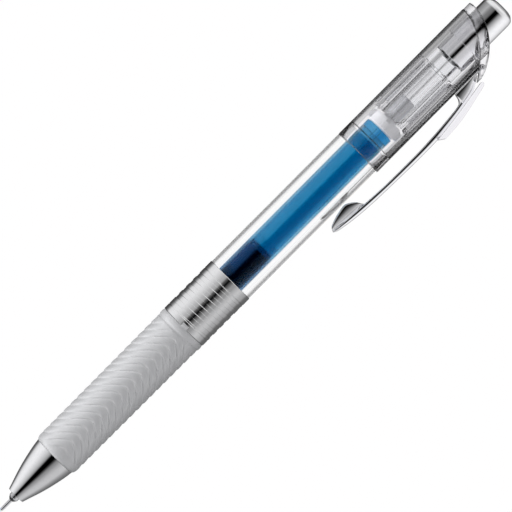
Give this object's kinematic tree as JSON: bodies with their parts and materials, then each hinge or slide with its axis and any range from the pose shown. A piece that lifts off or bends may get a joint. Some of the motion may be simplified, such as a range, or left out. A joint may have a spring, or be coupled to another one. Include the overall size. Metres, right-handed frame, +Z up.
{
  "type": "gel pen",
  "caption": "Retractable gel pen with a needle tip, chrome cone, ribbed rubber grip, clear barrel, blue refill, click button and pocket clip.",
  "frame": {"origin": "on the table, under the middle of the lying pen's bounding box", "axes": "+X along the pen, from the writing tip towards the button; +Z up from the table; the clip points to -Y and, since the pen lies rolled onto its clip, 18 degrees downwards"},
  "size_m": [0.1485, 0.0168, 0.0112],
  "materials": {
    "ball_metal": "polished carbide ball",
    "needle_steel": "drawn stainless steel tube",
    "holder_metal": "turned nickel-plated metal",
    "nozzle_plastic": "smooth moulded plastic",
    "refill_plastic": "translucent blue moulded plastic",
    "ink": "dark blue gel ink, seen through the tube",
    "follower_grease": "soft translucent grease",
    "tail_plastic": "smooth moulded plastic",
    "spring_steel": "bright spring wire",
    "chrome": "polished chrome plating",
    "grip_rubber": "satin translucent grey rubber with chevron grooves",
    "clear_plastic": "clear glossy moulded plastic",
    "rotor_plastic": "translucent white moulded plastic"
  },
  "bodies": {
    "barrel": {"lower_barrel": "clear_plastic", "upper_barrel": "clear_plastic", "crown": "clear_plastic", "front_cone": "chrome", "rubber_grip": "grip_rubber", "grooved_ring": "chrome", "return_spring": "spring_steel"},
    "button": {"button_cap": "chrome", "knock_cam": "clear_plastic"},
    "refill": {"refill_tube": "refill_plastic", "refill_nozzle": "nozzle_plastic", "tip_holder": "holder_metal", "needle_tube": "needle_steel", "ink_column": "ink", "ink_follower": "follower_grease", "refill_tail_plug": "tail_plastic"},
    "ball": {"writing_ball": "ball_metal"},
    "rotor": {"rotor_cam": "rotor_plastic"},
    "clip": {"pocket_clip": "chrome", "clip_cover": "clear_plastic"}
  },
  "joints": [
    {"name": "button_slide", "type": "slide", "parent": "barrel", "child": "button", "axis": [1, 0, 0], "range_m": [-0.0008, 0.0052]},
    {"name": "refill_slide", "type": "slide", "parent": "barrel", "child": "refill", "axis": [1, 0, 0], "range_m": [-0.0008, 0.0052], "deforming": ["return_spring"]},
    {"name": "rotor_turn", "type": "hinge", "parent": "refill", "child": "rotor", "pos_m": [0.0395, 0.00282, 0.00562], "axis": [1, 0, 0], "range_deg": [0, 90]},
    {"name": "ball_roll", "type": "hinge", "parent": "refill", "child": "ball", "pos_m": [-0.074, 0.00282, 0.00562], "axis": [0, 1, 0], "continuous": true},
    {"name": "clip_flex", "type": "hinge", "parent": "barrel", "child": "clip", "pos_m": [0.06245, -0.00279, 0.0038], "axis": [0, -0.309, 0.9511], "range_deg": [0, 5], "stiffness_Nm_per_rad": 1.5}
  ],
  "couplings": [
    {"joint": "refill_slide", "follows": "button_slide", "ratio": 1}
  ]
}
